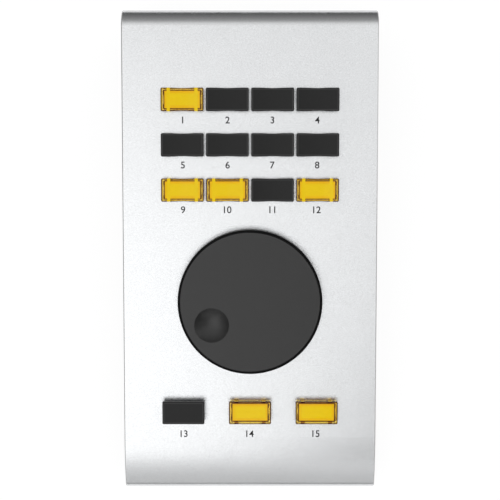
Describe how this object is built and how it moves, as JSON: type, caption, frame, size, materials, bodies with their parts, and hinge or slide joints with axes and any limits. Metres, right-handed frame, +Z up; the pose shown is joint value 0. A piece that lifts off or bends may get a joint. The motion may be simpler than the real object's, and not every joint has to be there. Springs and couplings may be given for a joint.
{
  "type": "studio monitor controller",
  "caption": "Sloping desktop controller: bent silver cover over a black tray, backlit push keys in rows, a large dimpled jog wheel, data socket and footswitch jack at the back.",
  "frame": {"origin": "desk level under the middle of the outline, feet at Z = 0", "axes": "+X to the right as the user sits, +Y away from the user to the sockets, +Z up"},
  "size_m": [0.1084, 0.2076, 0.043],
  "materials": {
    "silver_cover": "fine-grained silver coat, satin",
    "black_tray": "fine black texture coat",
    "foot_rubber": "matt",
    "black_screws": "blackened steel",
    "steel_screws": "bright zinc",
    "brass_pillars": "nickelled brass, worn",
    "board_green": "solder mask",
    "housing_black": "moulded",
    "led_white": "clear over yellow",
    "spring_steel": "bright wire",
    "encoder_black": "moulded",
    "bush_brass": "turned",
    "shaft_steel": "ground",
    "wheel_black": "fine moulded grain",
    "wheel_grey": "soft-touch",
    "socket_steel": "folded tin plate",
    "socket_insert": "moulded",
    "contact_metal": "sprung",
    "nut_nickel": "nickel",
    "header_grey": "moulded",
    "ribbon_grey": "flat cable",
    "chip_parts": "ceramic",
    "amber_cap": "clear amber, lit from below",
    "smoked_cap": "smoked, dark when unlit",
    "lit_pad": "milky yellow, lit",
    "dark_pad": "milky, seen dark through the smoked cap"
  },
  "bodies": {
    "case": {"top_cover": "silver_cover", "base_tray": "black_tray", "feet": "foot_rubber", "tray_screws": "black_screws", "main_board": "board_green", "board_pillars": "brass_pillars", "board_screws": "steel_screws", "switch_housings": "housing_black", "key_leds": "led_white", "key_springs": "spring_steel", "encoder_body": "encoder_black", "encoder_bush": "bush_brass", "io_board": "board_green", "io_pillars": "brass_pillars", "io_screws": "steel_screws", "usb_shell": "socket_steel", "usb_insert": "socket_insert", "usb_contacts": "contact_metal", "jack_body": "housing_black", "jack_contacts": "contact_metal", "jack_nut": "nut_nickel", "ribbon_headers": "header_grey", "ribbon_cable": "ribbon_grey", "controller_chip": "housing_black", "small_parts": "chip_parts"},
    "jog_wheel": {"wheel_body": "wheel_black", "wheel_inlay": "wheel_grey", "wheel_screw": "steel_screws", "encoder_shaft": "shaft_steel", "code_disc": "shaft_steel"},
    "key_1": {"key_1_cap": "amber_cap", "key_1_plunger": "lit_pad"},
    "key_2": {"key_2_cap": "smoked_cap", "key_2_plunger": "dark_pad"},
    "key_3": {"key_3_cap": "smoked_cap", "key_3_plunger": "dark_pad"},
    "key_4": {"key_4_cap": "smoked_cap", "key_4_plunger": "dark_pad"},
    "key_5": {"key_5_cap": "smoked_cap", "key_5_plunger": "dark_pad"},
    "key_6": {"key_6_cap": "smoked_cap", "key_6_plunger": "dark_pad"},
    "key_7": {"key_7_cap": "smoked_cap", "key_7_plunger": "dark_pad"},
    "key_8": {"key_8_cap": "smoked_cap", "key_8_plunger": "dark_pad"},
    "key_9": {"key_9_cap": "amber_cap", "key_9_plunger": "lit_pad"},
    "key_10": {"key_10_cap": "amber_cap", "key_10_plunger": "lit_pad"},
    "key_11": {"key_11_cap": "smoked_cap", "key_11_plunger": "dark_pad"},
    "key_12": {"key_12_cap": "amber_cap", "key_12_plunger": "lit_pad"},
    "key_13": {"key_13_cap": "smoked_cap", "key_13_plunger": "dark_pad"},
    "key_14": {"key_14_cap": "amber_cap", "key_14_plunger": "lit_pad"},
    "key_15": {"key_15_cap": "amber_cap", "key_15_plunger": "lit_pad"}
  },
  "joints": [
    {"name": "wheel_spin", "type": "hinge", "parent": "case", "child": "jog_wheel", "pos_m": [0, -0.02224, 0.028], "axis": [0, -0.1132, 0.9936], "continuous": true},
    {"name": "key_1_press", "type": "slide", "parent": "case", "child": "key_1", "axis": [0, 0.1132, -0.9936], "range_m": [0, 0.0012], "stiffness_N_per_m": 600, "springref_m": -0.001, "deforming": ["key_springs"]},
    {"name": "key_2_press", "type": "slide", "parent": "case", "child": "key_2", "axis": [0, 0.1132, -0.9936], "range_m": [0, 0.0012], "stiffness_N_per_m": 600, "springref_m": -0.001, "deforming": ["key_springs"]},
    {"name": "key_3_press", "type": "slide", "parent": "case", "child": "key_3", "axis": [0, 0.1132, -0.9936], "range_m": [0, 0.0012], "stiffness_N_per_m": 600, "springref_m": -0.001, "deforming": ["key_springs"]},
    {"name": "key_4_press", "type": "slide", "parent": "case", "child": "key_4", "axis": [0, 0.1132, -0.9936], "range_m": [0, 0.0012], "stiffness_N_per_m": 600, "springref_m": -0.001, "deforming": ["key_springs"]},
    {"name": "key_5_press", "type": "slide", "parent": "case", "child": "key_5", "axis": [0, 0.1132, -0.9936], "range_m": [0, 0.0012], "stiffness_N_per_m": 600, "springref_m": -0.001, "deforming": ["key_springs"]},
    {"name": "key_6_press", "type": "slide", "parent": "case", "child": "key_6", "axis": [0, 0.1132, -0.9936], "range_m": [0, 0.0012], "stiffness_N_per_m": 600, "springref_m": -0.001, "deforming": ["key_springs"]},
    {"name": "key_7_press", "type": "slide", "parent": "case", "child": "key_7", "axis": [0, 0.1132, -0.9936], "range_m": [0, 0.0012], "stiffness_N_per_m": 600, "springref_m": -0.001, "deforming": ["key_springs"]},
    {"name": "key_8_press", "type": "slide", "parent": "case", "child": "key_8", "axis": [0, 0.1132, -0.9936], "range_m": [0, 0.0012], "stiffness_N_per_m": 600, "springref_m": -0.001, "deforming": ["key_springs"]},
    {"name": "key_9_press", "type": "slide", "parent": "case", "child": "key_9", "axis": [0, 0.1132, -0.9936], "range_m": [0, 0.0012], "stiffness_N_per_m": 600, "springref_m": -0.001, "deforming": ["key_springs"]},
    {"name": "key_10_press", "type": "slide", "parent": "case", "child": "key_10", "axis": [0, 0.1132, -0.9936], "range_m": [0, 0.0012], "stiffness_N_per_m": 600, "springref_m": -0.001, "deforming": ["key_springs"]},
    {"name": "key_11_press", "type": "slide", "parent": "case", "child": "key_11", "axis": [0, 0.1132, -0.9936], "range_m": [0, 0.0012], "stiffness_N_per_m": 600, "springref_m": -0.001, "deforming": ["key_springs"]},
    {"name": "key_12_press", "type": "slide", "parent": "case", "child": "key_12", "axis": [0, 0.1132, -0.9936], "range_m": [0, 0.0012], "stiffness_N_per_m": 600, "springref_m": -0.001, "deforming": ["key_springs"]},
    {"name": "key_13_press", "type": "slide", "parent": "case", "child": "key_13", "axis": [0, 0.1132, -0.9936], "range_m": [0, 0.0012], "stiffness_N_per_m": 600, "springref_m": -0.001, "deforming": ["key_springs"]},
    {"name": "key_14_press", "type": "slide", "parent": "case", "child": "key_14", "axis": [0, 0.1132, -0.9936], "range_m": [0, 0.0012], "stiffness_N_per_m": 600, "springref_m": -0.001, "deforming": ["key_springs"]},
    {"name": "key_15_press", "type": "slide", "parent": "case", "child": "key_15", "axis": [0, 0.1132, -0.9936], "range_m": [0, 0.0012], "stiffness_N_per_m": 600, "springref_m": -0.001, "deforming": ["key_springs"]}
  ]
}
